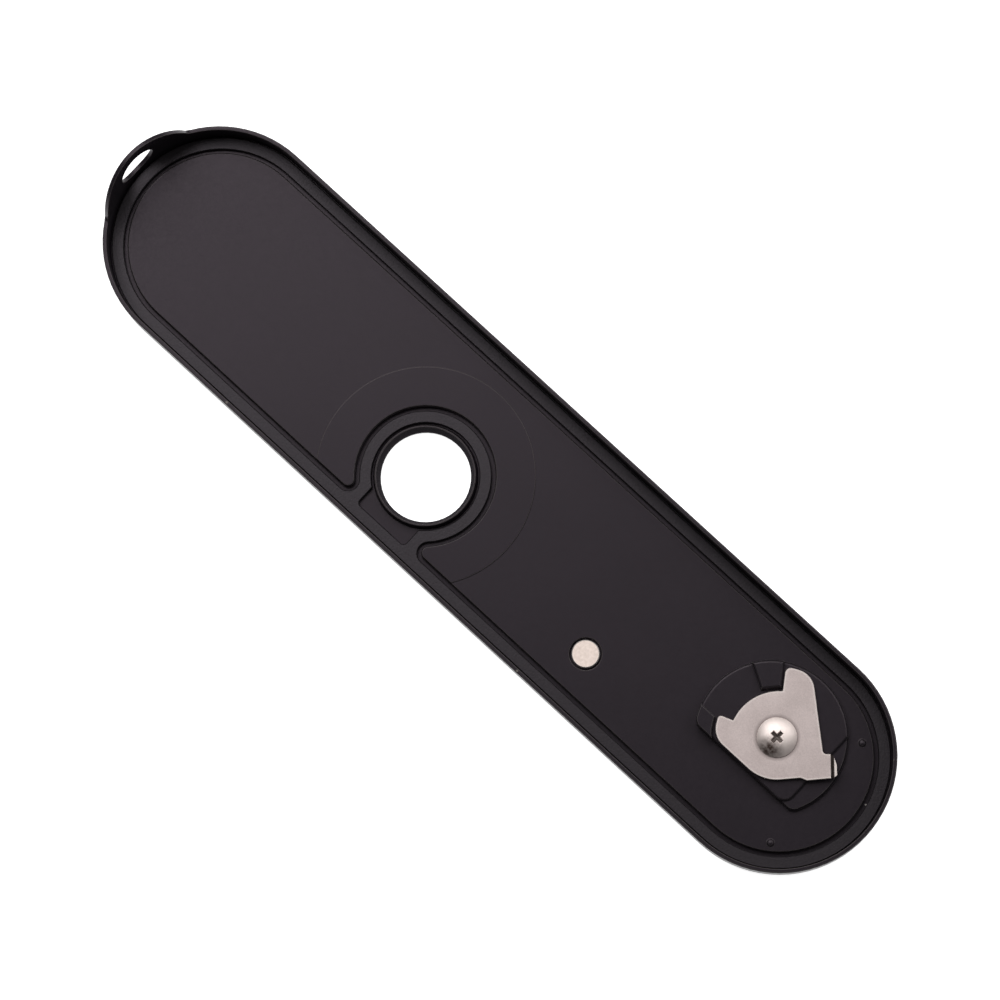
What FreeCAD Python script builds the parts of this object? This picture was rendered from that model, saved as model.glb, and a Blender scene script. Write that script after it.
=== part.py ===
import FreeCAD, Part
import math
import os

from FreeCAD import Vector

# Base plate of a rangefinder camera, seen with its inner side up. It lies on its flat underside:
# +X runs along the plate towards the lock, +Y across it, +Z up into the camera body.
# The origin is the middle of the underside.

# Shell: one brass block, milled to a round-ended tray
plate_length = 139.0
plate_width = 32.4
rim_height = 5.8
rim_wall = 0.56
rim_edge_bevel = 0.14
base_edge_radius = 0.8
groove_level = 0.8

# Raised floor inside the seal groove, with a low round step about the tripod opening
floor_inset = 3.05
floor_rise = 1.1
floor_edge_bevel = 0.15
floor_corner_radius = 1.0
round_step_radius = 15.45
round_step_rise = 0.1

# Opening for the body's tripod socket, and the collar turned up round it
socket_x = -9.5
socket_from_side = 11.7
socket_radius = 6.36
socket_land = 0.95
collar_slope_width = 0.62
collar_foot_width = 0.37
collar_rise = 1.45
collar_crest_width = 0.2

# Rubber seal: a loop along the rim joined to a ring round the tripod opening
seal_thickness = 0.8
seal_wall_gap = 0.22
seal_floor_gap = 0.57
seal_collar_gap = 0.25
seal_ring_width = 1.68
seal_pocket_half_width = 4.45
seal_pocket_corner_radius = 0.6
seal_edge_bevel = 0.12

# Hook ear at the end away from the lock, standing up from the rim
ear_radius = 8.6
ear_centre_drop = 2.3
ear_foot_radius = 0.6
ear_root_depth = 1.5
ear_hole_radius = 3.1
ear_hole_rise = 0.45

# Lock axis, and the raised boss round it
lock_from_end = 18.15
lock_y = 1.65
boss_radius = 10.65
boss_offset_x = -0.65
boss_offset_y = -0.45
boss_rise = 1.4
boss_flat = 6.15
boss_corner_radius = 1.5
boss_edge_radius = 0.4
ledge_distance = 7.16
ledge_drop = 0.5
ledge_corner_radius = 1.7
ledge_edge_bevel = 0.25

# Stop between the cam's two fingers, and the small guide block beside them
stop_rise = 1.0
stop_inner_radius = 6.98
stop_start_angle = 126.6
stop_end_angle = 150.8
stop_edge_radius = 0.45
guide_inner_radius = 8.98
guide_top = 3.62
guide_edge_bevel = 0.15

# Two small pips beside the lock
pip_distance = 9.1
pip_middle_y = -0.17
pip_half_spacing = 9.37
pip_radius = 0.58
pip_rise = 0.28
pip_flats = (1.0, 0.6)

# Magnet, set a little proud of the floor
magnet_x = 23.92
magnet_y = -7.62
magnet_radius = 1.96
magnet_thickness = 1.2
magnet_proud = 0.12
magnet_pocket_gap = 0.34
magnet_edge_bevel = 0.12

# Lock disc, with its hub and spindle, in its recess in the underside
disc_radius = 8.8
disc_thickness = 1.2
disc_setback = 0.05
disc_side_gap = 0.2
disc_edge_bevel = 0.15
hub_radius = 5.6
hub_height = 0.8
hub_side_gap = 0.15
hub_top_gap = 0.1
spindle_radius = 2.5
flats_radius = 1.75
flats_width = 2.9
flats_short = 0.1
running_gap = 0.03

# Thrust washer, shaft seal, bush and friction washer round the spindle
thrust_washer_thickness = 0.12
shaft_seal_section = 0.56
shaft_seal_play = 0.02
bush_wall = 0.97
friction_washer_thickness = 0.35
friction_washer_radius = 4.2

# Cam plate: points are measured from the lock axis
cam_thickness = 0.55
cam_edge_bevel = 0.06
cam_fit_gap = 0.03
cam_body_radius = 5.82
cam_waist_radius = 6.3
cam_root_radius = 6.45
turn_range = 49.0
stop_play = 1.4
finger_radius = 9.83
finger_corner_radius = 0.8
finger_shoulder_radius = 3.0
back_direction = 50.0
back_distance = 6.02
back_end = 2.62
catch_reach = 2.74
catch_corner_radius = 0.45
catch_shoulder_radius = 3.0
notch_radius = 0.5
notch_turn = 80.0
notch_rise = 0.56
lip_start = (7.28, 3.42)
lip_corner = (9.6, 2.04)
lip_heel = (9.52, 1.19)
tab_low = (7.05, -1.55)
tab_root_reach = 0.62
tab_root_direction = -17.0
fold_angle = 75.0
fold_width = 0.4
fold_direction = -46.5
lip_bulge = 0.12

# Screw that holds the cam
screw_head_radius = 2.78
screw_head_height = 1.05
screw_head_rim = 0.22
screw_head_flats = (1.0, 0.7)
screw_radius = 1.25
screw_length = 2.6
screw_thread_gap = 0.03
screw_hole_spare = 0.1
cross_radius = 0.95
cross_arm_width = 0.42
cross_depth = 0.7
cross_angle = -4.0

# Folding half-round key in the disc, and its hinge pins
key_rim = 0.8
key_end_trim = 0.8
key_thickness = 0.78
key_setback = 0.02
key_gap = 0.2
key_edge_bevel = 0.15
barrel_radius = 0.44
pocket_depth = 1.0
pin_radius = 0.25
pin_bore_gap = 0.03
pin_in_key = 1.0
pin_in_disc = 0.75
nail_notch_radius = 2.6
nail_notch_depth = 0.6
nail_notch_offset = 0.8

# Leaf spring that steadies the key, and its rivet
leaf_width = 3.0
leaf_hub_margin = 1.0
leaf_thickness = 0.12
leaf_slot_depth = 0.2
leaf_side_gap = 0.1
leaf_flat_length = 2.0
rivet_radius = 0.5
rivet_head_radius = 0.8
rivet_head_height = 0.12
rivet_length = 0.35

# Worked-out places
end_radius = plate_width / 2
end_x = plate_length / 2 - end_radius
socket_y = socket_from_side - end_radius
lock_x = plate_length / 2 - lock_from_end
pip_x = lock_x + pip_distance
crest_radius = socket_radius + collar_slope_width
collar_radius = crest_radius + collar_foot_width
seal_ring_inner_radius = collar_radius + seal_collar_gap
seal_ring_outer_radius = seal_ring_inner_radius + seal_ring_width
recess_radius = disc_radius + disc_side_gap
gland_radius = spindle_radius + shaft_seal_section + 2 * shaft_seal_play
bush_bore_radius = spindle_radius + running_gap
bush_radius = bush_bore_radius + bush_wall
key_radius = disc_radius - key_rim
key_half_width = key_radius - key_end_trim
leaf_length = hub_radius - leaf_hub_margin
rivet_y = leaf_flat_length / 2 - leaf_length
finger_side_angle = stop_start_angle - stop_play
catch_side_angle = stop_end_angle + turn_range + stop_play
catch_radius = cam_body_radius + catch_reach

# Worked-out levels
floor_level = groove_level + floor_rise
boss_top = floor_level + boss_rise
ledge_top = boss_top - ledge_drop
stop_top = boss_top + stop_rise
magnet_bottom = floor_level + magnet_proud - magnet_thickness
disc_top = disc_setback + disc_thickness
washer_bottom = disc_top + running_gap
recess_roof = washer_bottom + thrust_washer_thickness
hub_top = disc_top + hub_height
hub_roof = hub_top + hub_top_gap
bush_bottom = hub_roof + shaft_seal_section + 2 * shaft_seal_play
cam_bottom = boss_top + running_gap + friction_washer_thickness
cam_top = cam_bottom + cam_thickness
key_bottom = disc_setback + key_setback
hinge_level = key_bottom + barrel_radius
pocket_roof = disc_setback + pocket_depth
leaf_slot_roof = pocket_roof + leaf_slot_depth
leaf_seat = leaf_slot_roof - leaf_thickness

# Width within which an edge counts as lying on a level or a side
near = 0.01

UP = Vector(0, 0, 1)
lock_axis = Vector(lock_x, lock_y, 0)


def polar(radius, angle):
    turn = math.radians(angle)
    return Vector(radius * math.cos(turn), radius * math.sin(turn), 0)


def at(point, z=0.0):
    return Vector(point[0], point[1], z)


def arc(start, through, end):
    return Part.Arc(start, through, end).toShape()


def line(start, end):
    return Part.makeLine(start, end)


def face_of(edges):
    return Part.Face(Part.Wire(edges))


def prism(face, low, high):
    solid = face.extrude(UP * (high - low))
    solid.translate(UP * low)
    return solid


def tube(radius, low, high, x=0.0, y=0.0):
    return Part.makeCylinder(radius, high - low, Vector(x, y, low))


def ring(inner, outer, low, high):
    return tube(outer, low, high).cut(tube(inner, low - 1, high + 1))


def block(x_range, y_range, z_range):
    return Part.makeBox(x_range[1] - x_range[0], y_range[1] - y_range[0],
                        z_range[1] - z_range[0], Vector(x_range[0], y_range[0], z_range[0]))


# Solid of revolution from a closed outline of (radius, height) points
def turned(points):
    wire = Part.makePolygon([Vector(r, 0, z) for r, z in points + points[:1]])
    return Part.Face(wire).revolve(Vector(0, 0, 0), UP, 360)


def at_lock(solid):
    solid.translate(lock_axis)
    return solid


def clean(shape):
    shape = shape.removeSplitter()
    return shape.Solids[0] if len(shape.Solids) == 1 else shape


def level_edges(shape, level, keep=None):
    found = []
    for edge in shape.Edges:
        box = edge.BoundBox
        on_level = abs(box.ZMin - level) < near and abs(box.ZMax - level) < near
        if on_level and (keep is None or keep(edge)):
            found.append(edge)
    return found


def bevelled(shape, level, bevel, keep=None):
    return shape.makeChamfer(bevel, level_edges(shape, level, keep))


# Rounded edge, made as two flats that touch the round's own arc
def rounded(shape, level, radius):
    first = radius * (2 - math.sqrt(2))
    second = radius * (math.tan(math.pi / 8) - math.tan(math.pi / 16))
    return bevelled(bevelled(shape, level, first), level, second)


# Outline of a low dome, made as flats that meet the ball's own outline at the given shares of the
# radius
def dome_points(radius, rise, base, shares):
    ball = (radius ** 2 + rise ** 2) / (2 * rise)
    top = base + rise
    slope = [(radius * share, top - ball + math.sqrt(ball ** 2 - (radius * share) ** 2))
             for share in shares]
    return slope + [(0, top)]


# Outline with straight sides and half-round ends
def stadium(inset):
    radius = end_radius - inset
    return face_of([
        line(Vector(-end_x, -radius, 0), Vector(end_x, -radius, 0)),
        arc(Vector(end_x, -radius, 0), Vector(end_x + radius, 0, 0), Vector(end_x, radius, 0)),
        line(Vector(end_x, radius, 0), Vector(-end_x, radius, 0)),
        arc(Vector(-end_x, radius, 0), Vector(-end_x - radius, 0, 0),
            Vector(-end_x, -radius, 0)),
    ])


# Outline of the raised floor: the plate's own outline, with a round bite about the tripod opening
# whose two corners are rounded. A positive growth moves every edge outwards.
def floor_outline(growth=0.0):
    half_width = end_radius - floor_inset + growth
    bite = seal_ring_outer_radius + seal_floor_gap - growth
    corner = floor_corner_radius + growth
    corner_y = corner - half_width
    spread = math.sqrt((bite + corner) ** 2 - (corner_y - socket_y) ** 2)
    corners = []
    for side in (-1, 1):
        centre = Vector(socket_x + side * spread, corner_y, 0)
        inward = Vector(socket_x, socket_y, 0) - centre
        inward.normalize()
        down = Vector(0, -1, 0)
        middle = inward + down
        middle.normalize()
        corners.append([centre + way * corner for way in (down, middle, inward)])
    left, right = corners
    return face_of([
        line(Vector(-end_x, -half_width, 0), left[0]),
        arc(*left),
        arc(left[2], Vector(socket_x, socket_y + bite, 0), right[2]),
        arc(right[2], right[1], right[0]),
        line(right[0], Vector(end_x, -half_width, 0)),
        arc(Vector(end_x, -half_width, 0), Vector(end_x + half_width, 0, 0),
            Vector(end_x, half_width, 0)),
        line(Vector(end_x, half_width, 0), Vector(-end_x, half_width, 0)),
        arc(Vector(-end_x, half_width, 0), Vector(-end_x - half_width, 0, 0),
            Vector(-end_x, -half_width, 0)),
    ])


# The ear seen along the plate: an arch on the rim, with a small round at each foot
def ear_profile():
    centre = Vector(0, 0, rim_height - ear_centre_drop)
    reach = ear_radius + ear_foot_radius
    foot_y = math.sqrt(reach ** 2 - (ear_centre_drop + ear_foot_radius) ** 2)
    root = rim_height - ear_root_depth
    halves = []
    for side in (-1, 1):
        foot = Vector(0, side * foot_y, rim_height + ear_foot_radius)
        inward = centre - foot
        inward.normalize()
        middle = inward - UP
        middle.normalize()
        halves.append([Vector(0, side * foot_y, root), Vector(0, side * foot_y, rim_height),
                       foot + middle * ear_foot_radius, foot + inward * ear_foot_radius])
    left, right = halves
    return face_of([
        line(left[0], left[1]),
        arc(left[1], left[2], left[3]),
        arc(left[3], centre + UP * ear_radius, right[3]),
        arc(right[3], right[2], right[1]),
        line(right[1], right[0]),
        line(right[0], left[0]),
    ])


# The ear is the round end wall carried upwards and cut to the arch
def hook_ear():
    root = rim_height - ear_root_depth
    top = rim_height + ear_radius
    wall = prism(stadium(0), root, top).cut(prism(stadium(rim_wall), root - 1, top + 1))
    arch = ear_profile().extrude(Vector(-plate_width, 0, 0))
    arch.translate(Vector(-end_x, 0, 0))
    return wall.common(arch)


# Raised rounded ridge round the tripod opening, sloping in to the opening's edge
def socket_collar():
    crest = groove_level + collar_rise
    flat = collar_crest_width / 2
    collar = turned([
        (socket_radius, groove_level / 2), (collar_radius, groove_level / 2),
        (collar_radius, groove_level), (crest_radius + flat, crest), (crest_radius - flat, crest),
        (socket_radius, socket_land),
    ])
    collar.translate(Vector(socket_x, socket_y, 0))
    return collar


# Plan of the boss about the lock axis: a round pad cut straight on one side
def boss_plan():
    centre = Vector(boss_offset_x, boss_offset_y, 0)
    half = math.sqrt(boss_radius ** 2 - (boss_flat + boss_offset_y) ** 2)
    left = Vector(boss_offset_x - half, -boss_flat, 0)
    right = Vector(boss_offset_x + half, -boss_flat, 0)
    return face_of([line(left, right),
                    arc(right, centre + Vector(0, boss_radius, 0), left)])


def boss_pad(top):
    pad = prism(boss_plan(), groove_level, top)
    upright = [edge for edge in pad.Edges
               if edge.BoundBox.ZLength > ledge_drop and edge.BoundBox.YMax < near - boss_flat]
    return pad.makeFillet(boss_corner_radius, upright)


# The boss with its low ledge towards the plate's end, the stop and the guide block
def lock_boss():
    reach = 2 * boss_radius
    sunk = boss_top - ledge_drop
    ledge = bevelled(boss_pad(ledge_top), ledge_top, ledge_edge_bevel)
    pad = clean(boss_pad(boss_top).cut(block((ledge_distance, reach), (-reach, reach),
                                             (0, rim_height))))
    corner = [edge for edge in pad.Edges
              if edge.BoundBox.XMin > ledge_distance - near and edge.BoundBox.YMax < -boss_flat / 2]
    pad = rounded(pad.makeFillet(ledge_corner_radius, corner), boss_top, boss_edge_radius)

    limit = boss_pad(stop_top).common(block((-reach, reach), (-reach, reach), (sunk, stop_top)))
    wedge = prism(face_of([
        line(polar(stop_inner_radius, stop_start_angle), polar(reach, stop_start_angle)),
        line(polar(reach, stop_start_angle), polar(reach, stop_end_angle)),
        line(polar(reach, stop_end_angle), polar(stop_inner_radius, stop_end_angle)),
        line(polar(stop_inner_radius, stop_end_angle), polar(stop_inner_radius, stop_start_angle)),
    ]), sunk, stop_top)
    wedge = rounded(clean(wedge.common(limit)), stop_top, stop_edge_radius)

    guide = block((-reach, 0), (-boss_flat, -guide_top), (sunk, stop_top)).common(limit)
    guide = guide.cut(tube(guide_inner_radius, 0, rim_height))
    guide = bevelled(clean(guide), stop_top, guide_edge_bevel)
    return at_lock(ledge.fuse([pad, wedge, guide]))


def pip(side):
    sunk = groove_level / 2
    button = turned([(0, sunk), (pip_radius, sunk)]
                    + dome_points(pip_radius, pip_rise, floor_level, pip_flats))
    button.translate(Vector(pip_x, pip_middle_y + side * pip_half_spacing, 0))
    return button


# Thumbnail hollow at the free edge of the key, shared by the disc and the shell
def nail_notch():
    return Part.makeSphere(nail_notch_radius, Vector(
        0, -disc_radius - nail_notch_offset, nail_notch_depth - nail_notch_radius))


def base_shell():
    shell = prism(stadium(0), 0, rim_height)
    shell = rounded(shell, 0, base_edge_radius)
    shell = bevelled(shell, rim_height, rim_edge_bevel)
    shell = shell.cut(prism(stadium(rim_wall), groove_level, rim_height + 1))
    shell = shell.fuse(hook_ear())
    shell = shell.cut(Part.makeCylinder(ear_hole_radius, plate_width,
                                        Vector(-end_x, 0, rim_height + ear_hole_rise),
                                        Vector(-1, 0, 0)))

    sunk = groove_level / 2
    floor = bevelled(prism(floor_outline(), sunk, floor_level), floor_level, floor_edge_bevel)
    step = prism(floor_outline(-floor_edge_bevel), sunk, floor_level + round_step_rise)
    step = step.common(tube(round_step_radius, 0, rim_height, socket_x, socket_y))
    shell = shell.fuse([floor, step, socket_collar(), lock_boss(), pip(-1), pip(1)])

    shell = shell.cut([
        tube(socket_radius, -1, rim_height, socket_x, socket_y),
        tube(magnet_radius + magnet_pocket_gap, magnet_bottom, rim_height, magnet_x, magnet_y),
        at_lock(tube(recess_radius, -1, recess_roof)),
        at_lock(tube(hub_radius + hub_side_gap, 0, hub_roof)),
        at_lock(tube(gland_radius, 0, rim_height)),
        at_lock(tube(bush_radius, bush_bottom, rim_height)),
        at_lock(nail_notch()),
    ])
    return clean(shell)


def rubber_seal():
    top = groove_level + seal_thickness
    band = prism(stadium(rim_wall + seal_wall_gap), groove_level, top)
    band = band.cut(prism(floor_outline(seal_floor_gap), 0, rim_height))
    inner_edge = end_radius - floor_inset + seal_floor_gap
    pocket = block((socket_x - seal_pocket_half_width, socket_x + seal_pocket_half_width),
                   (-inner_edge, socket_y), (0, rim_height))
    corners = [edge for edge in pocket.Edges
               if edge.BoundBox.ZLength > 1 and edge.BoundBox.YMax < near - inner_edge]
    pocket = pocket.makeFillet(seal_pocket_corner_radius, corners)
    eye = tube(seal_ring_inner_radius, 0, rim_height, socket_x, socket_y)
    return bevelled(clean(band.cut([pocket, eye])), top, seal_edge_bevel)


def magnet():
    top = magnet_bottom + magnet_thickness
    disc = tube(magnet_radius, magnet_bottom, top, magnet_x, magnet_y)
    return bevelled(disc, top, magnet_edge_bevel)


# Driving end of the spindle: a round stem with two flats
def driving_end(growth, low, high):
    across = flats_width / 2 + growth
    wide = 2 * flats_radius
    return tube(flats_radius + growth, low, high).common(
        block((-wide, wide), (-across, across), (low, high)))


# Half-round plan with its straight side on the hinge, for the key and for its pocket
def half_round(radius, half_width, back):
    side_y = -math.sqrt(radius ** 2 - half_width ** 2)
    return face_of([
        line(Vector(-half_width, back, 0), Vector(half_width, back, 0)),
        line(Vector(half_width, back, 0), Vector(half_width, side_y, 0)),
        arc(Vector(half_width, side_y, 0), Vector(0, -radius, 0),
            Vector(-half_width, side_y, 0)),
        line(Vector(-half_width, side_y, 0), Vector(-half_width, back, 0)),
    ])


# Disc, hub and spindle are turned in one piece
def lock_disc():
    disc = bevelled(tube(disc_radius, disc_setback, disc_top), disc_setback, disc_edge_bevel)
    disc = disc.fuse([
        tube(hub_radius, pocket_roof, hub_top),
        tube(spindle_radius, disc_top, cam_bottom),
        driving_end(0, disc_top, cam_top - flats_short),
    ])
    slot_x = leaf_width / 2 + leaf_side_gap
    pocket = half_round(key_radius + key_gap, key_half_width + key_gap, barrel_radius + key_gap)
    pin_start = key_half_width + key_gap
    disc = disc.cut([
        prism(pocket, -1, pocket_roof),
        block((-slot_x, slot_x), (-leaf_length - leaf_side_gap, barrel_radius),
              (0, leaf_slot_roof)),
        tube(rivet_radius, 0, leaf_slot_roof + rivet_length, 0, rivet_y),
        Part.makeCylinder(pin_radius, 2 * (pin_start + pin_in_disc),
                          Vector(-pin_start - pin_in_disc, 0, hinge_level), Vector(1, 0, 0)),
        tube(screw_radius + screw_thread_gap, cam_top - screw_length - screw_hole_spare,
             cam_top + 1),
        nail_notch(),
    ])
    return at_lock(clean(disc))


def lock_key():
    plate = prism(half_round(key_radius, key_half_width, 0), key_bottom,
                  key_bottom + key_thickness)
    plate = bevelled(plate, key_bottom, key_edge_bevel,
                     lambda edge: edge.BoundBox.YMin < -barrel_radius)
    barrel = Part.makeCylinder(barrel_radius, 2 * key_half_width,
                               Vector(-key_half_width, 0, hinge_level), Vector(1, 0, 0))
    key = plate.fuse(barrel)
    for side in (-1, 1):
        key = key.cut(Part.makeCylinder(
            pin_radius + pin_bore_gap, pin_in_key + key_gap,
            Vector(side * key_half_width, 0, hinge_level), Vector(-side, 0, 0)))
    return at_lock(clean(key))


def key_pin(side):
    return at_lock(Part.makeCylinder(
        pin_radius, pin_in_key + key_gap + pin_in_disc,
        Vector(side * (key_half_width - pin_in_key), 0, hinge_level), Vector(side, 0, 0)))


# The leaf lies flat under its rivet and bends down until it bears on the key's barrel
def key_spring():
    bend_y = leaf_flat_length - leaf_length
    tip = hinge_level + barrel_radius + running_gap
    seat = leaf_seat
    profile = Part.makePolygon([
        Vector(0, -leaf_length, seat), Vector(0, bend_y, seat), Vector(0, 0, tip),
        Vector(0, 0, tip + leaf_thickness), Vector(0, bend_y, seat + leaf_thickness),
        Vector(0, -leaf_length, seat + leaf_thickness), Vector(0, -leaf_length, seat),
    ])
    leaf = Part.Face(profile).extrude(Vector(leaf_width, 0, 0))
    leaf.translate(Vector(-leaf_width / 2, 0, 0))
    return at_lock(clean(leaf.cut(tube(rivet_radius, 0, rim_height, 0, rivet_y))))


def spring_rivet():
    head = tube(rivet_head_radius, leaf_seat - rivet_head_height, leaf_seat, 0, rivet_y)
    stem = tube(rivet_radius, leaf_seat, leaf_slot_roof + rivet_length, 0, rivet_y)
    return at_lock(clean(head.fuse(stem)))


def thrust_washer():
    return at_lock(ring(hub_radius + hub_side_gap, disc_radius, washer_bottom, recess_roof))


def shaft_bush():
    return at_lock(ring(bush_bore_radius, bush_radius, bush_bottom, boss_top))


# Square-cut ring in the gland between hub and bush
def shaft_seal():
    inner = spindle_radius + shaft_seal_play
    low = hub_roof + shaft_seal_play
    return at_lock(ring(inner, inner + shaft_seal_section, low, low + shaft_seal_section))


# Flat ring that the cam is drawn down on
def friction_washer():
    bottom = boss_top + running_gap
    return at_lock(ring(spindle_radius + running_gap, friction_washer_radius, bottom, cam_bottom))


# Round corner between a straight side and a crown about the lock axis, as an arc's three points
# from side to crown. The side's distance from the axis is measured along its outward direction.
def crown_corner(crown, side_direction, side_distance, radius, turn):
    outward = polar(1, side_direction)
    depth = side_distance - radius
    centre = outward * depth + polar(math.sqrt((crown - radius) ** 2 - depth ** 2),
                                     side_direction + turn)
    crown_way = centre * (1 / centre.Length)
    middle = outward + crown_way
    middle.normalize()
    return [centre + way * radius for way in (outward, middle, crown_way)]


# Arc about the lock axis between two points of one radius
def axis_arc(start, end):
    middle = start + end
    middle.normalize()
    return arc(start, middle * start.Length, end)


# Cam: a round body with two fingers that straddle the stop, and the hook's tab. Both fingers end
# on crowns about the lock axis. The back runs straight from the big finger to the tab's notch,
# and the flat runs straight from the body's round to the small finger.
def cam_outline():
    finger_root = polar(cam_root_radius, finger_side_angle)
    finger_corner = crown_corner(finger_radius, finger_side_angle + 90, 0, finger_corner_radius, -90)
    shoulder = crown_corner(finger_radius, back_direction, back_distance,
                            finger_shoulder_radius, 90)
    notch_centre = (polar(back_distance + notch_radius, back_direction)
                    + polar(back_end, back_direction - 90))
    notch = [notch_centre - polar(notch_radius, back_direction + turn)
             for turn in (0, notch_turn / 2, notch_turn)]
    tab_top = notch[2] + polar(notch_rise, back_direction - 90 + notch_turn)
    lip_middle = (at(lip_start) + at(lip_corner)) * 0.5 + polar(lip_bulge, fold_direction + 90)
    tab_root = polar(cam_body_radius + tab_root_reach, tab_root_direction)
    body_turn = math.degrees(math.acos(cam_body_radius / tab_root.Length))
    body_side = polar(cam_body_radius, tab_root_direction - body_turn)
    body_low = polar(cam_body_radius, -90)
    catch_shoulder = crown_corner(catch_radius, -90, cam_body_radius, catch_shoulder_radius, -90)
    catch_corner = crown_corner(catch_radius, catch_side_angle - 90, 0, catch_corner_radius, 90)
    catch_root = polar(cam_root_radius, catch_side_angle)
    return face_of([
        line(finger_root, finger_corner[0]),
        arc(*finger_corner),
        axis_arc(finger_corner[2], shoulder[2]),
        arc(shoulder[2], shoulder[1], shoulder[0]),
        line(shoulder[0], notch[0]),
        arc(*notch),
        line(notch[2], tab_top),
        line(tab_top, at(lip_start)),
        arc(at(lip_start), lip_middle, at(lip_corner)),
        line(at(lip_corner), at(lip_heel)),
        line(at(lip_heel), at(tab_low)),
        line(at(tab_low), tab_root),
        line(tab_root, body_side),
        axis_arc(body_side, body_low),
        line(body_low, catch_shoulder[0]),
        arc(*catch_shoulder),
        axis_arc(catch_shoulder[2], catch_corner[2]),
        arc(catch_corner[2], catch_corner[1], catch_corner[0]),
        line(catch_corner[0], catch_root),
        arc(catch_root, polar(cam_waist_radius, (catch_side_angle + finger_side_angle) / 2),
            finger_root),
    ])


# The tab's end is folded up along a slanting line. The fold starts a little inside the lip, turns
# with an even inner radius, and the plan outline trims its free edge.
def cam_plate():
    start = at(lip_start)
    along = polar(1, fold_direction)
    outward = UP.cross(along)
    inner_radius = fold_width / math.sin(math.radians(fold_angle))
    reach = 2 * cam_body_radius
    foot = start - outward * fold_width - along * reach
    section = Part.Face(Part.makePolygon([
        foot + UP * cam_bottom, foot + UP * cam_top, foot + along * 2 * reach + UP * cam_top,
        foot + along * 2 * reach + UP * cam_bottom, foot + UP * cam_bottom]))
    beyond = section.extrude(outward * reach)
    fold = section.revolve(foot + UP * (cam_top + inner_radius), along, fold_angle)
    outline = cam_outline()
    flat = prism(outline, cam_bottom, cam_top).cut(beyond)
    lip = prism(outline, cam_bottom, cam_top + inner_radius + cam_thickness).common(fold)
    flat = bevelled(flat, cam_top, cam_edge_bevel,
                    lambda edge: (edge.CenterOfMass - foot).dot(outward) < -cam_edge_bevel)
    cam = flat.fuse(lip).cut(driving_end(cam_fit_gap, cam_bottom - 1, cam_top + 1))
    return at_lock(clean(cam))


def cam_screw():
    rim = cam_top + screw_head_rim
    top = cam_top + screw_head_height
    head = turned([(0, cam_top), (screw_head_radius, cam_top)]
                  + dome_points(screw_head_radius, top - rim, rim, screw_head_flats))
    screw = head.fuse(tube(screw_radius, cam_top - screw_length, cam_top))
    half_arm = cross_arm_width / 2
    arms = [
        block((-cross_radius, cross_radius), (-half_arm, half_arm), (top - cross_depth, top)),
        block((-half_arm, half_arm), (-cross_radius, cross_radius), (top - cross_depth, top)),
    ]
    for arm in arms:
        arm.rotate(Vector(0, 0, 0), UP, cross_angle)
    return at_lock(clean(screw.cut(arms)))


nodes = {
    "base_shell": base_shell(),
    "rubber_seal": rubber_seal(),
    "magnet": magnet(),
    "shaft_bush": shaft_bush(),
    "shaft_seal": shaft_seal(),
    "thrust_washer": thrust_washer(),
    "lock_disc": lock_disc(),
    "key_spring": key_spring(),
    "spring_rivet": spring_rivet(),
    "friction_washer": friction_washer(),
    "cam_plate": cam_plate(),
    "cam_screw": cam_screw(),
    "lock_key": lock_key(),
    "key_pin_left": key_pin(-1),
    "key_pin_right": key_pin(1),
}

os.makedirs("parts", exist_ok=True)
for name, shape in nodes.items():
    state = "valid" if shape.isValid() else "INVALID"
    print(name, state, len(shape.Solids), "solid", round(shape.Volume, 3), "mm3")
    shape.exportStep(f"parts/{name}.step")
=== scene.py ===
import math

import bmesh
import bpy
from mathutils import Euler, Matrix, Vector


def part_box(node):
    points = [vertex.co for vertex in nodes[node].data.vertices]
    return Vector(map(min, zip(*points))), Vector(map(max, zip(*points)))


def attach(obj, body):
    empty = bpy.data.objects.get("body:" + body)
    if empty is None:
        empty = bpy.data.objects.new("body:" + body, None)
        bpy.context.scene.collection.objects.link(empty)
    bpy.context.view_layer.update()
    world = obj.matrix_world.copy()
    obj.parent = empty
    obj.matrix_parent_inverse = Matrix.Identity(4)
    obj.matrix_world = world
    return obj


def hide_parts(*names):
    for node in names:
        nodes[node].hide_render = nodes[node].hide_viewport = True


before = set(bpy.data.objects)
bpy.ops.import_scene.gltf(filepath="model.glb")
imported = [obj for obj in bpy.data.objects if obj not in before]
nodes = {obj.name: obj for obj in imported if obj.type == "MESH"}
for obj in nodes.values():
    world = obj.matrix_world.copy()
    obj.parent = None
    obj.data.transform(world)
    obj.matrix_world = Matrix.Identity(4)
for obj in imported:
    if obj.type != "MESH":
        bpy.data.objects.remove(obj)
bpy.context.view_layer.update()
MM = 0.001


# Shell: the plate is milled from one block of brass and sprayed with satin black lacquer, which
# looks a little purple and shows a faint orange peel; its outer edges are painted paler as a
# highlight.
# The rim is nicked in three places, and two specks of dust lie inside it.
def linear(hex_colour):
    channels = [int(hex_colour[i:i + 2], 16) / 255 for i in (1, 3, 5)]
    return [c / 12.92 if c <= 0.04045 else ((c + 0.055) / 1.055) ** 2.4 for c in channels] + [1.0]


def add(material, kind, values=None, links=None, **settings):
    node = material.node_tree.nodes.new(kind)
    for name, value in settings.items():
        setattr(node, name, value)
    for socket, value in (values or {}).items():
        node.inputs[socket].default_value = value
    for socket, source in (links or {}).items():
        material.node_tree.links.new(source, node.inputs[socket])
    return node


def new_material(name):
    material = bpy.data.materials.new(name)
    material.use_nodes = True
    material.node_tree.nodes.clear()
    return material


def finish_material(material, shader, normal=None):
    if normal:
        material.node_tree.links.new(normal.outputs["Normal"], shader.inputs["Normal"])
    add(material, "ShaderNodeOutputMaterial", links={"Surface": shader.outputs[0]})


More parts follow.
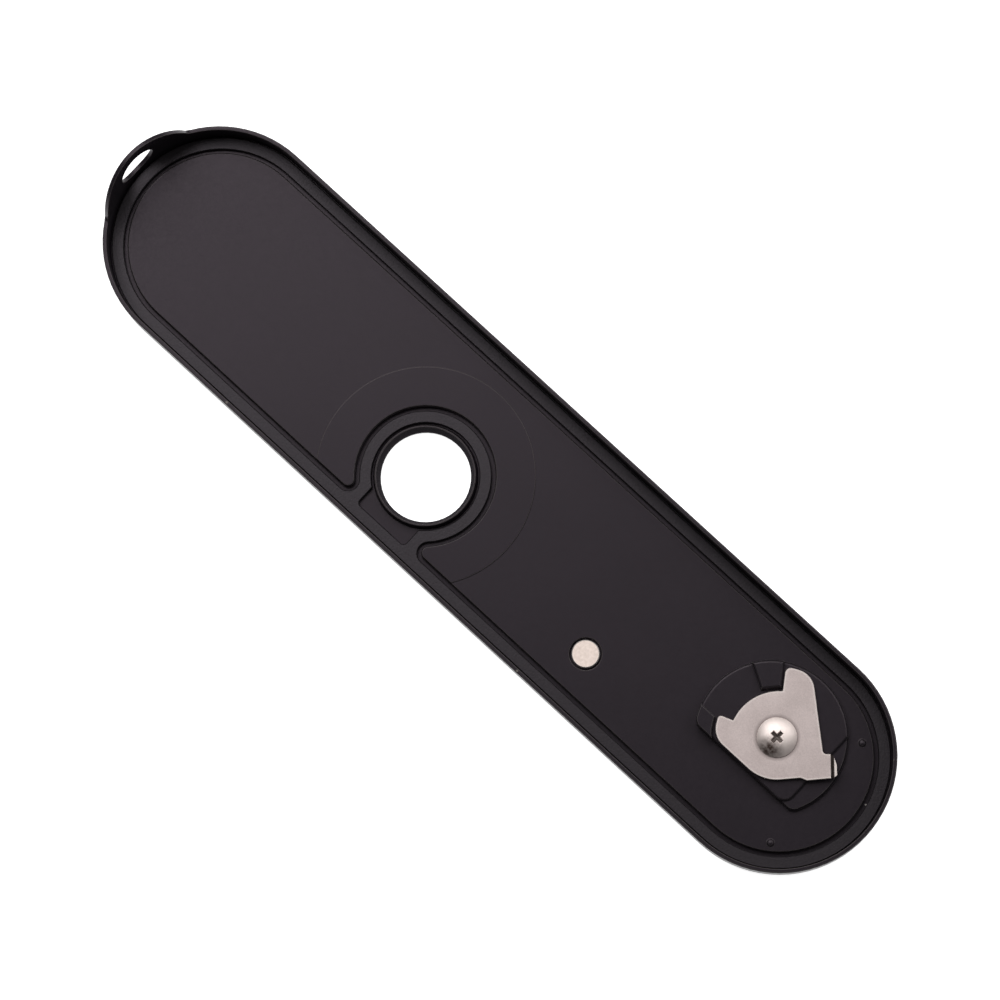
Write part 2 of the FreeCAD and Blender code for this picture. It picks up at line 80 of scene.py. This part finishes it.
def place_in_mm(material):
    coordinates = add(material, "ShaderNodeTexCoord")
    return add(material, "ShaderNodeVectorMath", {1: (1 / MM, 1 / MM, 1 / MM)},
               {0: coordinates.outputs["Object"]}, operation="MULTIPLY").outputs[0]


def from_axis(material, place, axis_x, axis_y):
    flat = add(material, "ShaderNodeVectorMath", {1: (1.0, 1.0, 0.0)}, {0: place},
               operation="MULTIPLY")
    return add(material, "ShaderNodeVectorMath", {1: (axis_x, axis_y, 0.0)},
               {0: flat.outputs[0]}, operation="DISTANCE").outputs["Value"]


# An edge shows where the rounded normal turns away from the surface's own one: the mask starts
# and is full at these cosines of the angle between the two.
def edge_mask(material, rounded, start_cosine, full_cosine):
    geometry = add(material, "ShaderNodeNewGeometry")
    facing = add(material, "ShaderNodeVectorMath",
                 links={0: rounded, 1: geometry.outputs["Normal"]}, operation="DOT_PRODUCT")
    return add(material, "ShaderNodeMapRange",
               {"From Min": start_cosine, "From Max": full_cosine},
               {"Value": facing.outputs["Value"]}).outputs[0]


def marks_at(material, place, spots, core_share):
    found = None
    for x, y, z, radius in spots:
        away = add(material, "ShaderNodeVectorMath", {1: (x, y, z)}, {0: place},
                   operation="DISTANCE")
        mark = add(material, "ShaderNodeMapRange",
                   {"From Min": radius, "From Max": radius * core_share},
                   {"Value": away.outputs["Value"]})
        if found:
            mark = add(material, "ShaderNodeMath",
                       links={0: found.outputs[0], 1: mark.outputs[0]}, operation="MAXIMUM")
        found = mark
    return found.outputs[0]


def dress(names, material):
    for name in names:
        slots = nodes[name].data.materials
        slots.clear()
        slots.append(material)


lacquer_colour = "#1a171b"
lacquer_pale_colour = "#201c21"
lacquer_gloss_colour = "#f6e5f1"
lacquer_smoothest, lacquer_roughest = 0.31, 0.38
lacquer_round_mm = 0.16
blotch_mm = 9.0
peel_grain_mm = 0.35
peel_depth_mm = 0.005
peel_valley, peel_crest = 0.3, 0.7

# Painted highlight: the lacquer's outer edges are coloured paler, as if catching the light.
edge_highlight_colour = "#565250"
highlight_start_cosine, highlight_full_cosine = 0.995, 0.93
corner_reach_mm = 0.5
corner_start_openness, corner_full_openness = 0.72, 0.9

socket_centre_mm = (-9.5, -4.5)
collar_crest_radius_mm = 6.95
collar_crest_width_mm = 0.1
collar_slope_roughness = 0.95

# Each mark is its place x, y, z and its radius, in millimetres.
dust_colour = "#b9b4ae"
dust_specks = [(66.5, 3.3, 0.8, 0.16), (53.1, -15.4, 0.8, 0.12)]
nick_colour = "#6d6862"
rim_nicks = [(-36.5, -15.9, 5.8, 0.22), (18.9, -15.95, 5.8, 0.2), (65.2, 10.1, 5.7, 0.2)]
mark_core_share = 0.6

lacquer = new_material("satin_black_lacquer")
place = place_in_mm(lacquer)
peel = add(lacquer, "ShaderNodeTexNoise", {"Scale": 1 / peel_grain_mm, "Detail": 2.0},
           {"Vector": place})
blotch = add(lacquer, "ShaderNodeTexNoise", {"Scale": 1 / blotch_mm, "Detail": 3.0},
             {"Vector": place})
tint = add(lacquer, "ShaderNodeMix",
           {"A": linear(lacquer_colour), "B": linear(lacquer_pale_colour)},
           {"Factor": blotch.outputs["Fac"]}, data_type="RGBA")
rounded = add(lacquer, "ShaderNodeBevel", {"Radius": lacquer_round_mm * MM}, samples=6)
edges = edge_mask(lacquer, rounded.outputs[0], highlight_start_cosine, highlight_full_cosine)
openness = add(lacquer, "ShaderNodeAmbientOcclusion", {"Distance": corner_reach_mm * MM},
               samples=4)
outer_corner = add(lacquer, "ShaderNodeMapRange",
                   {"From Min": corner_start_openness, "From Max": corner_full_openness},
                   {"Value": openness.outputs["AO"]})
# The outer edges that get the painted highlight.
painted_edge_highlight = add(lacquer, "ShaderNodeMath", links={0: edges, 1: outer_corner.outputs[0]},
             operation="MULTIPLY")
specks = marks_at(lacquer, place, dust_specks, mark_core_share)
nicks = marks_at(lacquer, place, rim_nicks, mark_core_share)
for mark_colour, mark_share in ((edge_highlight_colour, painted_edge_highlight.outputs[0]), (dust_colour, specks),
                                (nick_colour, nicks)):
    tint = add(lacquer, "ShaderNodeMix", {"B": linear(mark_colour)},
               {"Factor": mark_share, "A": tint.outputs[2]}, data_type="RGBA")
satin = add(lacquer, "ShaderNodeMapRange",
            {"From Min": peel_valley, "From Max": peel_crest,
             "To Min": lacquer_smoothest, "To Max": lacquer_roughest},
            {"Value": peel.outputs["Fac"]})
matt_slope = add(lacquer, "ShaderNodeMapRange",
                 {"From Min": collar_crest_radius_mm,
                  "From Max": collar_crest_radius_mm - collar_crest_width_mm,
                  "To Max": collar_slope_roughness},
                 {"Value": from_axis(lacquer, place, *socket_centre_mm)})
sheen = add(lacquer, "ShaderNodeMath", links={0: satin.outputs[0], 1: matt_slope.outputs[0]},
            operation="MAXIMUM")
relief = add(lacquer, "ShaderNodeBump", {"Strength": 0.3, "Distance": peel_depth_mm * MM},
             {"Height": peel.outputs["Fac"], "Normal": rounded.outputs[0]})
shell_skin = add(lacquer, "ShaderNodeBsdfPrincipled",
                 {"IOR": 1.45, "Specular IOR Level": 0.36,
                  "Specular Tint": linear(lacquer_gloss_colour)},
                 {"Base Color": tint.outputs[2], "Roughness": sheen.outputs[0]})
finish_material(lacquer, shell_skin, relief)
dress(["base_shell"], lacquer)


# Seal: one moulding of soft black rubber, pressed into the groove, and a small ring of the same
# rubber round the spindle. The rubber is duller and less purple than the lacquer. The blasted
# mould leaves a grain finer than a tenth of a millimetre, drawn here coarse enough to show.
rubber_colour = "#090809"
rubber_pale_colour = "#221f21"
rubber_gloss_colour = "#f8ecf7"
mould_grain_mm = 0.22
mould_depth_mm = 0.03

rubber = new_material("moulded_rubber")
place = place_in_mm(rubber)
grain = add(rubber, "ShaderNodeTexNoise", {"Scale": 1 / mould_grain_mm, "Detail": 3.0},
            {"Vector": place})
tint = add(rubber, "ShaderNodeMix", {"A": linear(rubber_colour), "B": linear(rubber_pale_colour)},
           {"Factor": grain.outputs["Fac"]}, data_type="RGBA")
relief = add(rubber, "ShaderNodeBump", {"Strength": 0.8, "Distance": mould_depth_mm * MM},
             {"Height": grain.outputs["Fac"]})
seal_skin = add(rubber, "ShaderNodeBsdfPrincipled",
                {"Roughness": 0.42, "IOR": 1.5, "Specular IOR Level": 0.43,
                 "Specular Tint": linear(rubber_gloss_colour)}, {"Base Color": tint.outputs[2]})
finish_material(rubber, seal_skin, relief)
dress(["rubber_seal", "shaft_seal"], rubber)


# Magnet: a sintered disc with nickel plate, glued into its pocket in the floor. The plate shows
# a soft mottle and is painted paler in a thin ring along its edge.
nickel_colour = "#fff0e8"
nickel_dull_colour = "#c9b9ae"
nickel_smoothest, nickel_roughest = 0.44, 0.56
# The plate is painted paler in a thin ring along its edge.
pale_edge_colour = "#fff8f3"
pale_edge_mm = 0.16
mottle_mm = 0.5
mottle_depth_mm = 0.01

magnet_low, magnet_high = (Vector(corner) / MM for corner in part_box("magnet"))
magnet_axis = (magnet_low + magnet_high) / 2
magnet_radius_mm = (magnet_high.x - magnet_low.x) / 2

nickel = new_material("nickel_plate")
place = place_in_mm(nickel)
mottle = add(nickel, "ShaderNodeTexNoise", {"Scale": 1 / mottle_mm, "Detail": 4.0},
             {"Vector": place})
tint = add(nickel, "ShaderNodeMix", {"A": linear(nickel_dull_colour), "B": linear(nickel_colour)},
           {"Factor": mottle.outputs["Fac"]}, data_type="RGBA")
# The thin ring along the edge that is painted paler.
pale_edge = add(nickel, "ShaderNodeMapRange",
                {"From Min": magnet_radius_mm - pale_edge_mm,
                 "From Max": magnet_radius_mm - pale_edge_mm / 2},
                {"Value": from_axis(nickel, place, magnet_axis.x, magnet_axis.y)})
tint = add(nickel, "ShaderNodeMix", {"B": linear(pale_edge_colour)},
           {"Factor": pale_edge.outputs[0], "A": tint.outputs[2]}, data_type="RGBA")
sheen = add(nickel, "ShaderNodeMapRange",
            {"To Min": nickel_smoothest, "To Max": nickel_roughest},
            {"Value": mottle.outputs["Fac"]})
relief = add(nickel, "ShaderNodeBump", {"Strength": 0.3, "Distance": mottle_depth_mm * MM},
             {"Height": mottle.outputs["Fac"]})
magnet_skin = add(nickel, "ShaderNodeBsdfPrincipled", {"Metallic": 1.0},
                  {"Base Color": tint.outputs[2], "Roughness": sheen.outputs[0]})
finish_material(nickel, magnet_skin, relief)
dress(["magnet"], nickel)


# Bush: a plain bearing turned from brass rod, in which the spindle turns. It sits in the boss
# and is left bare, with the bright skin of a sharp tool.
brass_colour = "#c9a35a"
brass_smoothest, brass_roughest = 0.2, 0.35
turning_mark_mm = 0.12

brass = new_material("turned_brass")
place = place_in_mm(brass)
turning = add(brass, "ShaderNodeTexNoise", {"Scale": 1 / turning_mark_mm, "Detail": 2.0},
              {"Vector": place})
sheen = add(brass, "ShaderNodeMapRange", {"To Min": brass_smoothest, "To Max": brass_roughest},
            {"Value": turning.outputs["Fac"]})
bush_skin = add(brass, "ShaderNodeBsdfPrincipled",
                {"Metallic": 1.0, "Base Color": linear(brass_colour)},
                {"Roughness": sheen.outputs[0]})
finish_material(brass, bush_skin)
dress(["shaft_bush"], brass)


# Thrust washer: a ring punched from a black sheet of slippery plastic and laid between the disc
# and the shell. Its rolled skin has a fine even grain.
slip_sheet_colour = "#202022"
sheet_grain_mm = 0.22
sheet_depth_mm = 0.01

slip_sheet = new_material("black_slip_sheet")
place = place_in_mm(slip_sheet)
sheet_grain = add(slip_sheet, "ShaderNodeTexNoise", {"Scale": 1 / sheet_grain_mm, "Detail": 1.0},
                  {"Vector": place})
relief = add(slip_sheet, "ShaderNodeBump", {"Strength": 0.2, "Distance": sheet_depth_mm * MM},
             {"Height": sheet_grain.outputs["Fac"]})
washer_skin = add(slip_sheet, "ShaderNodeBsdfPrincipled",
                  {"Roughness": 0.5, "Base Color": linear(slip_sheet_colour)})
finish_material(slip_sheet, washer_skin, relief)
dress(["thrust_washer"], slip_sheet)


# Lock disc and key: turned and milled steel in satin black chrome. The facing tool leaves fine
# rings about the lock's axis, a tenth of a millimetre apart and drawn wider here so that they
# show. The key folds on two pins in the disc, and the disc turns in the underside.
black_chrome_colour = "#3a393c"
tool_ring_mm = 0.754
tool_ring_depth_mm = 0.004
# At a scale of 1 the rings' wave runs through this angle over one metre.
wave_texture_radians = 20.0

lock_low, lock_high = (Vector(corner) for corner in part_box("lock_disc"))
lock_axis = (lock_low + lock_high) / 2

black_chrome = new_material("satin_black_chrome")
coordinates = add(black_chrome, "ShaderNodeTexCoord")
centred = add(black_chrome, "ShaderNodeMapping", {"Location": (-lock_axis.x, -lock_axis.y, 0.0)},
              {"Vector": coordinates.outputs["Object"]})
rings = add(black_chrome, "ShaderNodeTexWave",
            {"Scale": 2 * math.pi / (tool_ring_mm * MM) / wave_texture_radians,
             "Distortion": 0.4, "Detail": 1.0},
            {"Vector": centred.outputs[0]}, wave_type="RINGS", rings_direction="Z")
relief = add(black_chrome, "ShaderNodeBump",
             {"Strength": 0.3, "Distance": tool_ring_depth_mm * MM},
             {"Height": rings.outputs["Fac"]})
disc_skin = add(black_chrome, "ShaderNodeBsdfPrincipled",
                {"Metallic": 1.0, "Roughness": 0.32, "Base Color": linear(black_chrome_colour)})
finish_material(black_chrome, disc_skin, relief)
dress(["lock_disc", "lock_key"], black_chrome)


# Pins, leaf, rivet and friction washer: hardened spring steel, rolled or drawn and left bare,
# with a sheen that changes a little from place to place. The pins carry the key, the rivet
# holds the leaf that steadies it, and the cam is drawn down on the washer.
spring_colour = "#a3a19d"
spring_smoothest, spring_roughest = 0.25, 0.4
draw_mark_mm = 0.2

spring_steel = new_material("rolled_spring_steel")
place = place_in_mm(spring_steel)
draw_marks = add(spring_steel, "ShaderNodeTexNoise", {"Scale": 1 / draw_mark_mm, "Detail": 2.0},
                 {"Vector": place})
sheen = add(spring_steel, "ShaderNodeMapRange",
            {"To Min": spring_smoothest, "To Max": spring_roughest},
            {"Value": draw_marks.outputs["Fac"]})
spring_skin = add(spring_steel, "ShaderNodeBsdfPrincipled",
                  {"Metallic": 1.0, "Base Color": linear(spring_colour)},
                  {"Roughness": sheen.outputs[0]})
finish_material(spring_steel, spring_skin)
dress(["key_pin_left", "key_pin_right", "key_spring", "spring_rivet", "friction_washer"],
      spring_steel)


# Cam: blanked from stainless sheet, with the tab's lip folded, and tumbled. Tumbling leaves a
# warm grey satin of tiny random marks, drawn coarse enough to show. Its rounded edges and the lip
# carry a painted highlight, the bend at the lip's foot is painted shade, and a ring of painted
# shade lies round the screw's head.
stainless_colour = "#e4d6d3"
stainless_dark_colour = "#9b8e8b"
stainless_smoothest, stainless_roughest = 0.4, 0.54
tumble_mark_mm = 0.16
tumble_depth_mm = 0.006
tumble_cloud_mm = 4.0
tumble_cloud_share = 0.45

# A ring of painted shade round the screw's head.
head_shade_colour = "#7b706d"
head_shade_width_mm = 0.55
head_shade_share = 0.75

# Painted highlight on the rounded edges and on the folded lip.
cut_highlight_colour = "#f7f0ec"
cut_edge_roughness = 0.85
cut_edge_round_mm = 0.45
cut_start_cosine, cut_full_cosine = 0.99, 0.95

# The bend is a straight line across the tab. It lies this far from the plate's middle, measured
# in this direction from the X axis.
# The bend is painted dark, as the shade in the fold.
bend_shade_colour = "#4a4340"
bend_direction = math.radians(43.5)
bend_middle_mm = 45.95
bend_half_width_mm = 0.28
bend_fade_mm = 0.05
lip_start_mm = bend_middle_mm + bend_half_width_mm - 0.04
lip_full_mm = bend_middle_mm + bend_half_width_mm + 0.02

screw_low, screw_high = (Vector(corner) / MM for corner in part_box("cam_screw"))
screw_axis = (screw_low + screw_high) / 2
head_radius_mm = (screw_high.x - screw_low.x) / 2

stainless = new_material("tumbled_stainless_steel")
place = place_in_mm(stainless)
marks = add(stainless, "ShaderNodeTexNoise", {"Scale": 1 / tumble_mark_mm, "Detail": 3.0},
            {"Vector": place})
clouds = add(stainless, "ShaderNodeTexNoise", {"Scale": 1 / tumble_cloud_mm, "Detail": 2.0},
             {"Vector": place})
tone = add(stainless, "ShaderNodeMix", {"Factor": tumble_cloud_share},
           {"A": marks.outputs["Fac"], "B": clouds.outputs["Fac"]})
tint = add(stainless, "ShaderNodeMix",
           {"A": linear(stainless_dark_colour), "B": linear(stainless_colour)},
           {"Factor": tone.outputs[0]}, data_type="RGBA")
# Painted shade in a ring round the screw's head.
painted_head_shade = add(stainless, "ShaderNodeMapRange",
           {"From Min": head_radius_mm + head_shade_width_mm, "From Max": head_radius_mm,
            "To Max": head_shade_share},
           {"Value": from_axis(stainless, place, screw_axis.x, screw_axis.y)})
rounded = add(stainless, "ShaderNodeBevel", {"Radius": cut_edge_round_mm * MM}, samples=6)
cut_edge = edge_mask(stainless, rounded.outputs[0], cut_start_cosine, cut_full_cosine)
outward = add(stainless, "ShaderNodeVectorMath",
              {1: (math.cos(bend_direction), math.sin(bend_direction), 0.0)}, {0: place},
              operation="DOT_PRODUCT")
lip_highlight = add(stainless, "ShaderNodeMapRange", {"From Min": lip_start_mm, "From Max": lip_full_mm},
          {"Value": outward.outputs["Value"]})
# The rounded edges and the lip, where the painted highlight goes.
painted_highlight = add(stainless, "ShaderNodeMath", links={0: cut_edge, 1: lip_highlight.outputs[0]},
             operation="MAXIMUM")
past_bend = add(stainless, "ShaderNodeMath", {1: bend_middle_mm},
                {0: outward.outputs["Value"]}, operation="SUBTRACT")
from_bend = add(stainless, "ShaderNodeMath", links={0: past_bend.outputs[0]},
                operation="ABSOLUTE")
# Painted shade along the bend.
painted_bend_shade = add(stainless, "ShaderNodeMapRange",
           {"From Min": bend_half_width_mm, "From Max": bend_half_width_mm - bend_fade_mm},
           {"Value": from_bend.outputs[0]})
for mark_colour, mark_share in ((head_shade_colour, painted_head_shade), (cut_highlight_colour, painted_highlight),
                                (bend_shade_colour, painted_bend_shade)):
    tint = add(stainless, "ShaderNodeMix", {"B": linear(mark_colour)},
               {"Factor": mark_share.outputs[0], "A": tint.outputs[2]}, data_type="RGBA")
satin = add(stainless, "ShaderNodeMapRange",
            {"To Min": stainless_smoothest, "To Max": stainless_roughest},
            {"Value": marks.outputs["Fac"]})
matt_cut = add(stainless, "ShaderNodeMath", {1: cut_edge_roughness}, {0: painted_highlight.outputs[0]},
               operation="MULTIPLY")
sheen = add(stainless, "ShaderNodeMath", links={0: satin.outputs[0], 1: matt_cut.outputs[0]},
            operation="MAXIMUM")
relief = add(stainless, "ShaderNodeBump", {"Strength": 0.3, "Distance": tumble_depth_mm * MM},
             {"Height": marks.outputs["Fac"]})
cam_skin = add(stainless, "ShaderNodeBsdfPrincipled", {"Metallic": 1.0},
               {"Base Color": tint.outputs[2], "Roughness": sheen.outputs[0]})
finish_material(stainless, cam_skin, relief)
dress(["cam_plate"], stainless)


# Screw: a cold-headed steel screw with nickel plate, which holds the cam on the spindle. The
# cross recess is punched into its head, deepest in the middle, and its edge is drawn down by the
# punch. One side of the dome carries painted shade mixed with blotchy brown tarnish, and the inside
# of the recess is painted dark.
head_height_mm = 1.05
head_rim_mm = 0.22
shank_radius_mm = 1.25
dome_rise_mm = head_height_mm - head_rim_mm
dome_power = 2.5
dome_rings = 60
dome_steps = 144
weld_mm = 0.0001
sharp_angle = math.radians(50.0)
cross_reach_mm = 0.98
cross_half_width_mm = 0.32
cross_wall_mm = 0.14
cross_depth_mm = 0.6
cross_taper = 0.6
cross_turn = math.radians(-4.0)

seat_mm = screw_high.z - head_height_mm
outline = [(0.0, screw_low.z), (shank_radius_mm, screw_low.z), (shank_radius_mm, seat_mm),
           (head_radius_mm, seat_mm)]
for ring in range(dome_rings, -1, -1):
    share = ring / dome_rings
    outline.append((head_radius_mm * share, screw_high.z - dome_rise_mm * share ** dome_power))

screw = bmesh.new()
profile = [screw.verts.new((screw_axis.x + reach, screw_axis.y, level)) for reach, level in outline]
for first, second in zip(profile, profile[1:]):
    screw.edges.new((first, second))
bmesh.ops.spin(screw, geom=screw.verts[:] + screw.edges[:], cent=(screw_axis.x, screw_axis.y, 0.0),
               axis=(0.0, 0.0, 1.0), angle=2 * math.pi, steps=dome_steps, use_merge=True)
bmesh.ops.remove_doubles(screw, verts=screw.verts, dist=weld_mm)
recess = screw.verts.layers.float.new("recess")
for vert in screw.verts:
    if vert.co.z > screw_high.z - dome_rise_mm:
        across = (vert.co - screw_axis).to_2d()
        along = abs(across.x * math.cos(cross_turn) + across.y * math.sin(cross_turn))
        aside = abs(across.y * math.cos(cross_turn) - across.x * math.sin(cross_turn))
        outside = min(max(along - cross_reach_mm, aside - cross_half_width_mm),
                      max(aside - cross_reach_mm, along - cross_half_width_mm))
        sunk = min(max(-outside / cross_wall_mm, 0.0), 1.0)
        eased = sunk * sunk * (3 - 2 * sunk)
        vert[recess] = sunk
        vert.co.z -= cross_depth_mm * eased * (1.0 - cross_taper * across.length / cross_reach_mm)
bmesh.ops.recalc_face_normals(screw, faces=screw.faces)
bmesh.ops.scale(screw, vec=(MM, MM, MM), verts=screw.verts)
for face in screw.faces:
    face.smooth = True
screw_mesh = bpy.data.meshes.new("cross_recess_screw")
screw.to_mesh(screw_mesh)
screw.free()
screw_mesh.set_sharp_from_angle(angle=sharp_angle)
screw_piece = bpy.data.objects.new("cross_recess_screw", screw_mesh)
bpy.context.collection.objects.link(screw_piece)
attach(screw_piece, "lock")
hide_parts("cam_screw")

plated_colour = "#f7ebe6"
plated_smoothest, plated_roughest = 0.52, 0.66
haze_grain_mm = 0.25
haze_depth_mm = 0.006

# The dome's side away from the light is painted dark brown: painted shade, blotched like tarnish.
shade_and_tarnish_colour = "#5f504a"
tarnish_blot_mm = 0.6
tarnish_blot_start, tarnish_blot_full = 0.35, 0.6
tarnish_least_share = 0.55
shaded_side_offset_mm = Vector((0.4, -2.15, 0.0))
shaded_side_radius_mm = 2.35
shaded_side_core_share = 0.3
shaded_side_middle = Vector((screw_axis.x, screw_axis.y, screw_high.z)) + shaded_side_offset_mm

# The inside of the cross recess is painted dark, more so further in.
recess_dark_colour = "#3a312d"
darkening_start_depth, darkening_full_depth = 0.45, 0.9
darkening_share = 0.9

plated = new_material("nickel_plated_screw_steel")
place = place_in_mm(plated)
haze = add(plated, "ShaderNodeTexNoise", {"Scale": 1 / haze_grain_mm, "Detail": 4.0},
           {"Vector": place})
blots = add(plated, "ShaderNodeTexNoise", {"Scale": 1 / tarnish_blot_mm, "Detail": 3.0},
            {"Vector": place})
blotted = add(plated, "ShaderNodeMapRange",
              {"From Min": tarnish_blot_start, "From Max": tarnish_blot_full,
               "To Min": tarnish_least_share}, {"Value": blots.outputs["Fac"]})
from_shaded_side = add(plated, "ShaderNodeVectorMath", {1: shaded_side_middle}, {0: place},
                   operation="DISTANCE")
# Painted shade on the side of the dome turned away from the light.
painted_shade_side = add(plated, "ShaderNodeMapRange",
                     {"From Min": shaded_side_radius_mm,
                      "From Max": shaded_side_radius_mm * shaded_side_core_share},
                     {"Value": from_shaded_side.outputs["Value"]})
shade_and_tarnish = add(plated, "ShaderNodeMath",
              links={0: painted_shade_side.outputs[0], 1: blotted.outputs[0]}, operation="MULTIPLY")
recess_depth = add(plated, "ShaderNodeAttribute", attribute_name="recess")
# Painted darkening inside the recess.
recess_darkening = add(plated, "ShaderNodeMapRange",
           {"From Min": darkening_start_depth, "From Max": darkening_full_depth, "To Max": darkening_share},
           {"Value": recess_depth.outputs["Fac"]})
tint = add(plated, "ShaderNodeMix", {"A": linear(plated_colour), "B": linear(shade_and_tarnish_colour)},
           {"Factor": shade_and_tarnish.outputs[0]}, data_type="RGBA")
tint = add(plated, "ShaderNodeMix", {"B": linear(recess_dark_colour)},
           {"Factor": recess_darkening.outputs[0], "A": tint.outputs[2]}, data_type="RGBA")
sheen = add(plated, "ShaderNodeMapRange",
            {"To Min": plated_smoothest, "To Max": plated_roughest},
            {"Value": haze.outputs["Fac"]})
relief = add(plated, "ShaderNodeBump", {"Strength": 0.3, "Distance": haze_depth_mm * MM},
             {"Height": haze.outputs["Fac"]})
screw_skin = add(plated, "ShaderNodeBsdfPrincipled", {"Metallic": 1.0},
                 {"Base Color": tint.outputs[2], "Roughness": sheen.outputs[0]})
finish_material(plated, screw_skin, relief)
screw_mesh.materials.append(plated)


# Floor: a plain white sheet a hair under the plate. It is white to the camera and in reflections,
# and still takes the plate's shadow.
floor_size = 6.0
floor_drop_mm = 0.05
floor_albedo = "#f2f2f2"
floor_glow = 0.92

table = bmesh.new()
bmesh.ops.create_grid(table, x_segments=1, y_segments=1, size=floor_size / 2)
bmesh.ops.translate(table, verts=table.verts, vec=(0.0, 0.0, -floor_drop_mm * MM))
table_mesh = bpy.data.meshes.new("floor")
table.to_mesh(table_mesh)
table.free()
floor = bpy.data.objects.new("floor", table_mesh)
bpy.context.collection.objects.link(floor)

sheet_white = new_material("white_sheet")
rays = add(sheet_white, "ShaderNodeLightPath")
seen = add(sheet_white, "ShaderNodeMath",
           links={0: rays.outputs["Is Camera Ray"], 1: rays.outputs["Is Glossy Ray"]},
           operation="ADD")
seen = add(sheet_white, "ShaderNodeMath",
           links={0: seen.outputs[0], 1: rays.outputs["Is Transmission Ray"]}, operation="ADD",
           use_clamp=True)
glow_level = add(sheet_white, "ShaderNodeMath", {1: floor_glow}, {0: seen.outputs[0]},
                 operation="MULTIPLY")
glow = add(sheet_white, "ShaderNodeEmission", links={"Strength": glow_level.outputs[0]})
matt = add(sheet_white, "ShaderNodeBsdfDiffuse", {"Color": linear(floor_albedo)})
sheet_skin = add(sheet_white, "ShaderNodeAddShader",
                 links={0: glow.outputs[0], 1: matt.outputs[0]})
finish_material(sheet_white, sheet_skin)
floor.data.materials.append(sheet_white)


# Studio: a large softbox leans over the ear's end and gives the floor its fading gloss, a second
# one stands on the far side and throws the soft shadows, and the room is an even pale grey.
# Each softbox is its name, its place and width in metres, and its radiance.
room_strength = 0.13
softboxes = [("softbox_over_ear", Vector((-0.5, 0.22, 0.85)), 0.8, 3.4),
             ("softbox_far_side", Vector((0.2, 0.75, 0.75)), 0.7, 2.2)]

world = bpy.data.worlds.new("pale_room")
bpy.context.scene.world = world
world.use_nodes = True
world.node_tree.nodes["Background"].inputs["Color"].default_value = (1.0, 1.0, 1.0, 1.0)
world.node_tree.nodes["Background"].inputs["Strength"].default_value = room_strength

for lamp_name, lamp_place, lamp_width, radiance in softboxes:
    softbox = bpy.data.lights.new(lamp_name, "AREA")
    softbox.shape = "SQUARE"
    softbox.size = lamp_width
    softbox.energy = radiance * math.pi * lamp_width ** 2
    lamp = bpy.data.objects.new(lamp_name, softbox)
    lamp.location = lamp_place
    lamp.rotation_euler = lamp_place.to_track_quat("Z", "Y").to_euler()
    bpy.context.collection.objects.link(lamp)


# Camera: it looks down on the plate from 0.64 m, 8 degrees off the upright, with the plate's
# length turned 43 degrees in the frame.
camera_place_mm = Vector((77.37, -37.19, 635.66))
camera_turn_degrees = (7.155, 2.792, 42.911)
focal_pixels = 4582.3
frame_pixels = 1000
sensor_mm = 36.0
clip_start_mm = 10.0

view = bpy.data.cameras.new("camera")
view.sensor_width = sensor_mm
view.sensor_fit = "HORIZONTAL"
view.lens = focal_pixels / frame_pixels * sensor_mm
view.clip_start = clip_start_mm * MM
camera = bpy.data.objects.new("camera", view)
camera.location = camera_place_mm * MM
camera.rotation_euler = Euler([math.radians(turn) for turn in camera_turn_degrees], "XYZ")
bpy.context.collection.objects.link(camera)
bpy.context.scene.camera = camera

bpy.context.scene.view_settings.view_transform = "Standard"
